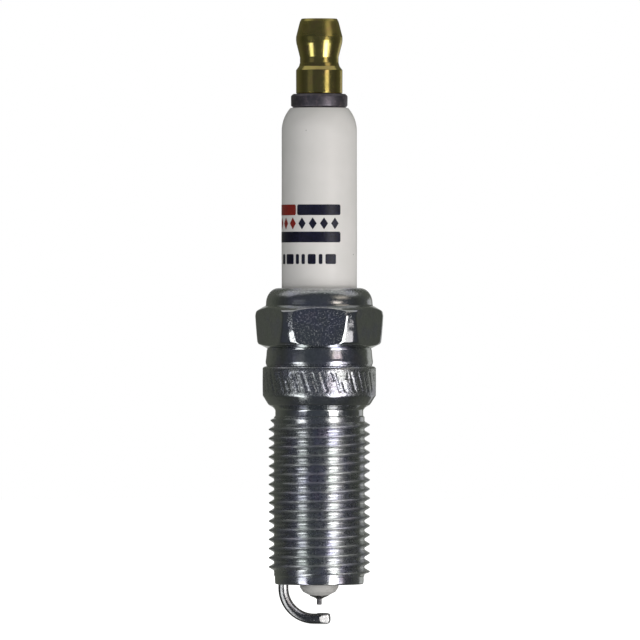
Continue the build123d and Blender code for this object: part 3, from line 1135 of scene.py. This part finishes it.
# piece, material, body, slot, and the CAD nodes that it replaces
PIECES = (
    (make_shell(), plated_steel("plated_steel"), "plug", "plated_steel", ("shell",)),
    (make_insulator(), glazed_ceramic(), "plug", "glazed_alumina", ("insulator",)),
    (print_dark, ink_dark, "plug", "glazed_alumina", ()),
    (print_red, ink_red, "plug", "glazed_alumina", ()),
    (make_stud(), oxidised_steel(), "plug", "oxidised_steel", ("terminal_stud",)),
    (make_nut(), brass(), "terminal_nut", "terminal_brass", ("terminal_nut",)),
    (make_centre_electrode(), nickel_in_painted_shade, "plug", "nickel_alloy", ("center_electrode",)),
    (make_tip(), noble_metal(), "plug", "noble_metal", ("center_electrode_tip",)),
    (make_strap(), worn, "plug", "nickel_alloy", ("ground_electrode",)),
    (make_pad(), noble_metal(), "plug", "noble_metal", ("ground_electrode_pad",)),
)
for piece, material, body, slot, nodes in PIECES:
    piece.data.materials.append(material)
    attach(piece, body)
    if nodes:
        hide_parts(*nodes)

# the shell's outside below the neck has the thread's finish
finish_top, finish_reach = NECK_LOW + 0.1, 0.98 * THREAD_ROOT
shell_body = PIECES[0][0]
shell_body.data.materials.append(plated_steel("plated_steel_thread", drawn=0.8))
for face in shell_body.data.polygons:
    reach = hypot(face.center.x, face.center.y)
    if face.center.z < finish_top * MM and reach > finish_reach * MM:
        face.material_index = 1

copper_glass = grainy("copper_glass", (0.16, 0.09, 0.06), (0.42, 0.24, 0.16), 0.4, 0.3, 9)
soft_steel = grainy("soft_steel", (0.34, 0.34, 0.35), (0.46, 0.46, 0.46), 0.34, 1.0)
SEALED = {
    "center_electrode_core": grainy("copper", (0.62, 0.30, 0.18), (0.78, 0.42, 0.27), 0.3, 1.0),
    "glass_seal_upper": copper_glass,
    "glass_seal_lower": copper_glass,
    "resistor": grainy("resistor_glass", (0.02, 0.02, 0.02), (0.07, 0.07, 0.07), 0.5),
    "seat_washer": soft_steel,
    "packing_ring_lower": soft_steel,
    "packing_ring_upper": soft_steel,
    "talc_packing": grainy("talc", (0.68, 0.66, 0.62), (0.82, 0.80, 0.76), 0.85),
}
for node, material in SEALED.items():
    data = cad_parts[node].data
    data.materials.clear()
    data.materials.append(material)


# --- studio ------------------------------------------------------------------------------------------

VIEW_WIDTH = 87.31
VIEW_DISTANCE = 1300.0
VIEW_X = 0.1
VIEW_Z = 11.04
FLOOR_DROP = 0.15


def make_camera():
    data = bpy.data.cameras.new("camera")
    data.sensor_width = 36.0
    data.lens = data.sensor_width * VIEW_DISTANCE / VIEW_WIDTH
    data.clip_start = 0.01
    data.clip_end = 10.0
    camera = bpy.data.objects.new("camera", data)
    camera.location = (VIEW_X * MM, -VIEW_DISTANCE * MM, VIEW_Z * MM)
    camera.rotation_euler = (pi / 2, 0.0, 0.0)
    bpy.context.scene.collection.objects.link(camera)
    bpy.context.scene.camera = camera


def light_panel(name, azimuth, distance, low, high, half_angle, radiance, colour=(1, 1, 1)):
    """An upright panel facing the plug's axis. Azimuth 0 is the camera's side, 90 its right."""
    width = 2 * distance * tan(radians(half_angle))
    a = radians(azimuth)
    place = Vector((distance * sin(a), -distance * cos(a), (low + high) / 2))
    facing = Vector((sin(a), -cos(a), 0.0))
    return add_light(name, place, facing, width, high - low, radiance, colour)


def light_above(name, azimuth, elevation, distance, width, depth, radiance, colour=(1, 1, 1)):
    """A panel that faces the middle of the view from a height."""
    a, e = radians(azimuth), radians(elevation)
    away = Vector((sin(a) * cos(e), -cos(a) * cos(e), sin(e)))
    place = Vector((0.0, 0.0, VIEW_Z)) + away * distance
    return add_light(name, place, away, width, depth, radiance, colour)


def add_light(name, place, facing, width, height, radiance, colour):
    data = bpy.data.lights.new(name, "AREA")
    data.shape = "RECTANGLE"
    data.size = width * MM
    data.size_y = height * MM
    data.energy = radiance * pi * width * height * MM * MM
    data.color = colour
    light = bpy.data.objects.new(name, data)
    light.location = place * MM
    light.rotation_euler = facing.to_track_quat("Z", "Y").to_euler()
    light.visible_camera = False
    bpy.context.scene.collection.objects.link(light)
    return light


def make_lights():
    light_panel("right_panel", 38, 250, -330, -6, 11, 5.2, (1.0, 0.99, 0.98))
    light_panel("right_panel_middle", 38, 250, -6, 9.5, 11, 2.2, (1.0, 0.98, 0.98))
    light_panel("right_panel_top", 38, 250, 9.5, 38, 8, 0.7, (1.0, 0.86, 0.79))
    light_panel("right_panel_crown", 39, 250, 40, 60, 9, 2.3, (1.0, 0.86, 0.78))
    light_panel("right_panel_high", 54, 250, 130, 240, 15, 0.62, (1.0, 0.88, 0.74))
    light_panel("right_wing", 56, 250, -150, -22, 7, 1.1, (1.0, 0.95, 0.97))
    light_panel("left_panel", -45, 180, -300, -17, 10, 2.3, (0.97, 0.99, 1.0))
    light_panel("left_wing", -46, 180, 34, 80, 13, 0.1)
    light_panel("rear_right_panel", 143, 300, -100, 60, 14, 0.4)
    light_panel("rear_panel", 180, 400, -250, 250, 11, 0.3)
    light_above("top_panel", 0, 97, 500, 1400, 430, 0.42)
    fill = light_above("front_fill", 8, 8, 900, 500, 500, 1.45, (1.0, 0.965, 0.95))
    fill.visible_glossy = False


def make_world():
    """White behind the plug, even light on matt surfaces, and a dim room in its reflections."""
    world = bpy.data.worlds.new("studio")
    world.use_nodes = True
    nodes, links = world.node_tree.nodes, world.node_tree.links
    output = nodes["World Output"]
    room = nodes["Background"]
    place = nodes.new("ShaderNodeTexCoord")
    split = nodes.new("ShaderNodeSeparateXYZ")
    links.new(place.outputs["Generated"], split.inputs[0])
    depth = nodes.new("ShaderNodeMapRange")
    depth.inputs["From Min"].default_value = -1.0
    links.new(split.outputs["Y"], depth.inputs["Value"])
    ramp = nodes.new("ShaderNodeValToRGB")
    stops = (
        (0.0, (0.060, 0.067, 0.085)),
        (0.3, (0.055, 0.060, 0.070)),
        (0.5, (0.045, 0.048, 0.046)),
        (0.8, (0.10, 0.105, 0.09)),
        (1.0, (0.12, 0.125, 0.105)),
    )
    elements = ramp.color_ramp.elements
    elements.remove(elements[-1])
    for index, (at, colour) in enumerate(stops):
        element = elements[0] if index == 0 else elements.new(at)
        element.position = at
        element.color = (*colour, 1.0)
    links.new(depth.outputs["Result"], ramp.inputs["Fac"])
    links.new(ramp.outputs["Color"], room.inputs["Color"])
    ray = nodes.new("ShaderNodeLightPath")
    shader = room.outputs[0]
    for kind, colour in (("Is Diffuse Ray", (0.235, 0.24, 0.235)), ("Is Camera Ray", (1.0, 1.0, 1.0))):
        light = nodes.new("ShaderNodeBackground")
        light.inputs["Color"].default_value = (*colour, 1.0)
        chosen = nodes.new("ShaderNodeMixShader")
        links.new(ray.outputs[kind], chosen.inputs[0])
        links.new(shader, chosen.inputs[1])
        links.new(light.outputs[0], chosen.inputs[2])
        shader = chosen.outputs[0]
    links.new(shader, output.inputs["Surface"])
    bpy.context.scene.world = world


def make_floor():
    """A pale disc under the plug, almost as bright as the backdrop."""
    skin = Skin()
    level = strap_low.z - FLOOR_DROP
    rim = skin.ring(900, level, 128)
    skin.close(rim, level, upward=True)
    floor = skin.mesh("floor")
    finish = Finish("pale_floor", Roughness=0.9)
    even = finish.scaled(1, 1, 1)
    finish.colour(finish.ramp(finish.noise(even, 0.05, 2), (0.3, 0.80), (0.7, 0.82)))
    finish.shader.inputs["Emission Color"].default_value = (1, 1, 1, 1)
    finish.links.new(
        finish.ramp(finish.distance_from_axis(120), (0.05, 0.9), (1.0, 1.0)),
        finish.shader.inputs["Emission Strength"],
    )
    floor.data.materials.append(finish.material)
    floor.visible_glossy = False
    floor.visible_diffuse = False
    floor.visible_shadow = False


make_camera()
make_lights()
make_world()
make_floor()
bpy.context.scene.view_settings.view_transform = "Standard"
